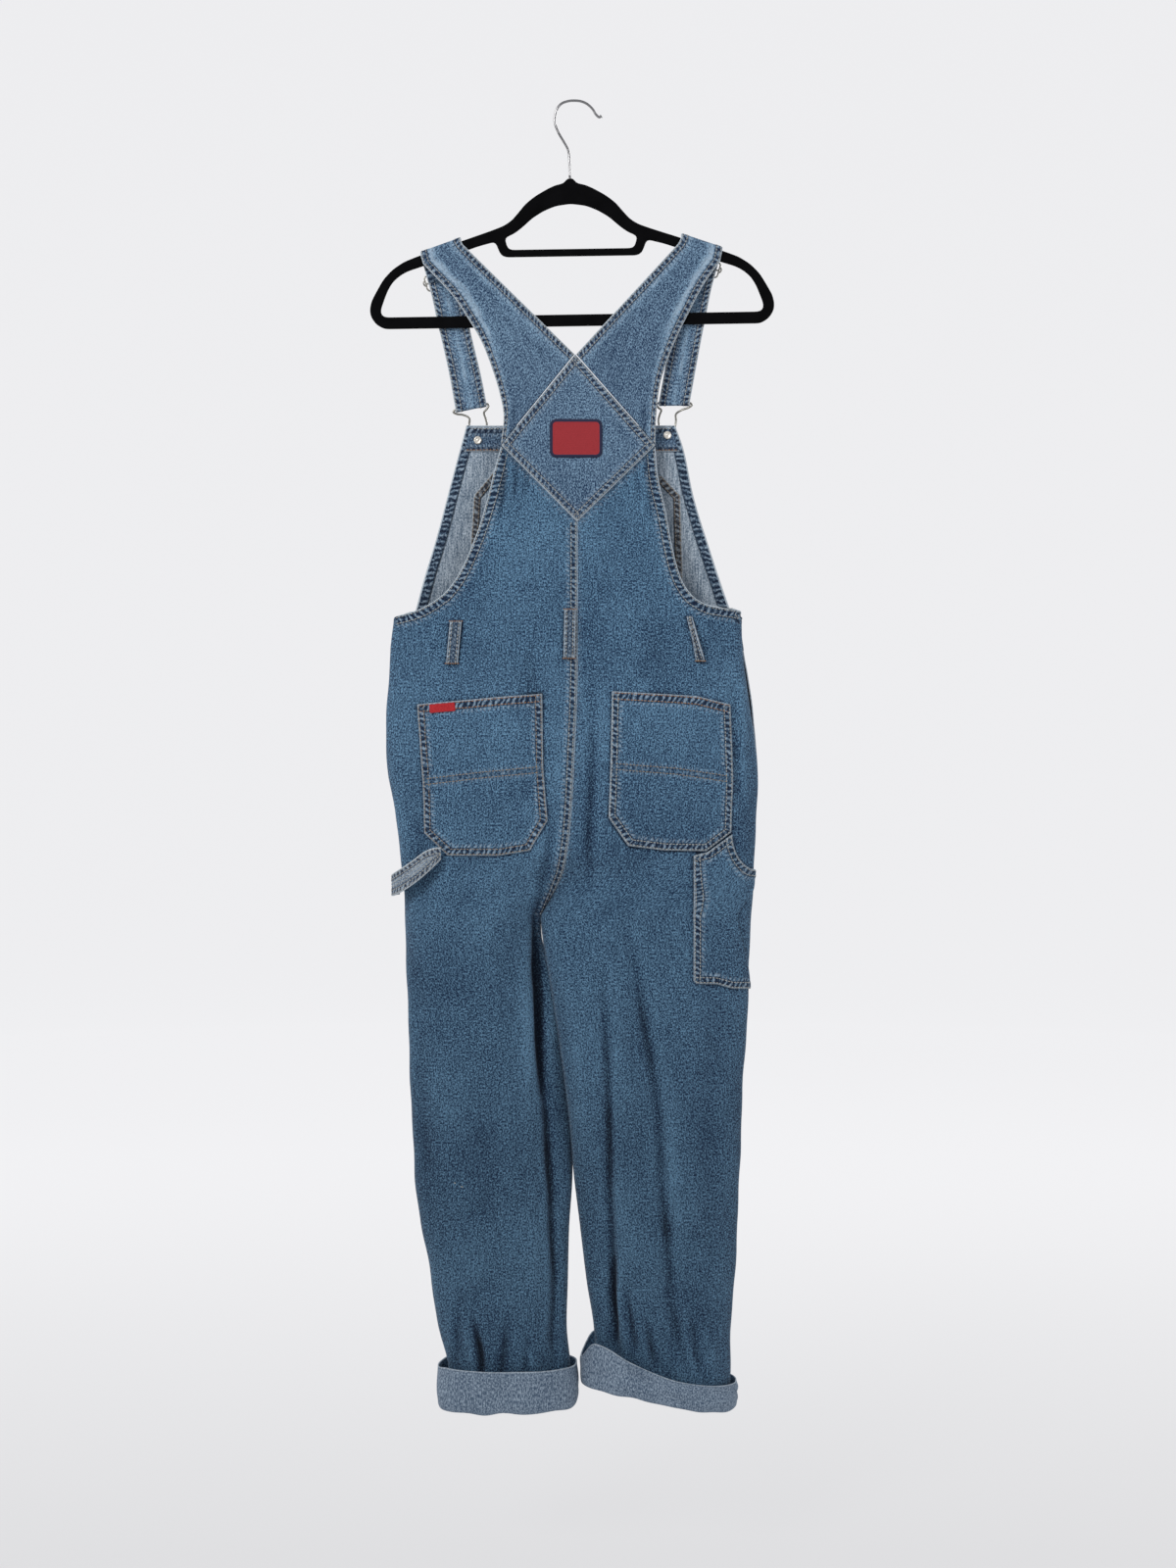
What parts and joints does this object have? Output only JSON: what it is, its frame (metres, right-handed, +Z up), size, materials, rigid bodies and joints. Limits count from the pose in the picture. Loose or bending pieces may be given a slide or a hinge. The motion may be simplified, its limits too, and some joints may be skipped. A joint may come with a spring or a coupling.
{
  "type": "denim bib overalls on a hanger",
  "caption": "Carpenter bib overalls of washed denim with patch pockets, hammer loop and rolled cuffs, hung by the straps on a slim hanger.",
  "frame": {"origin": "inside the top bend of the hanger's hook, where the hanger hangs", "axes": "+Z up, +Y from the garment's back through to its front, +X to the wearer's right"},
  "size_m": [0.4512, 0.0885, 1.4548],
  "materials": {
    "denim": "washed mid-blue cotton twill, matt, with paler wear along its seams",
    "denim_wrong_side": "pale wrong side of the twill, matt",
    "denim_dark": "unfaded dark blue twill, matt",
    "red_cloth": "plain red woven cloth with a stitched border",
    "thread": "matt off-white and tan sewing thread",
    "nickel": "nickel-plated wire and tack buttons, satin",
    "velvet": "black flocked velvet, very matt",
    "hook_wire": "bright chrome wire"
  },
  "bodies": {
    "root": {"back_left": "denim", "back_right": "denim", "front_left": "denim", "front_right": "denim", "yoke": "denim", "strap_left": "denim", "strap_right": "denim", "waistband": "denim", "bib": "denim", "bib_pocket": "denim", "back_pocket_left": "denim", "back_pocket_right": "denim", "tool_pocket": "denim", "belt_loop_left": "denim", "belt_loop_centre": "denim", "belt_loop_right": "denim", "hammer_loop": "denim_wrong_side", "cuff_left": "denim_wrong_side", "cuff_right": "denim_wrong_side", "bib_facing": "denim_dark", "patch": "red_cloth", "pocket_label": "red_cloth", "buckle_left": "nickel", "buckle_right": "nickel", "slide_left": "nickel", "slide_right": "nickel", "bib_button_left": "nickel", "bib_button_right": "nickel", "bib_rivet_left": "nickel", "bib_rivet_right": "nickel", "side_button_left_upper": "nickel", "side_button_left_lower": "nickel", "side_button_right_upper": "nickel", "side_button_right_lower": "nickel", "hanger_body": "velvet", "hanger_hook": "hook_wire"}
  },
  "joints": []
}
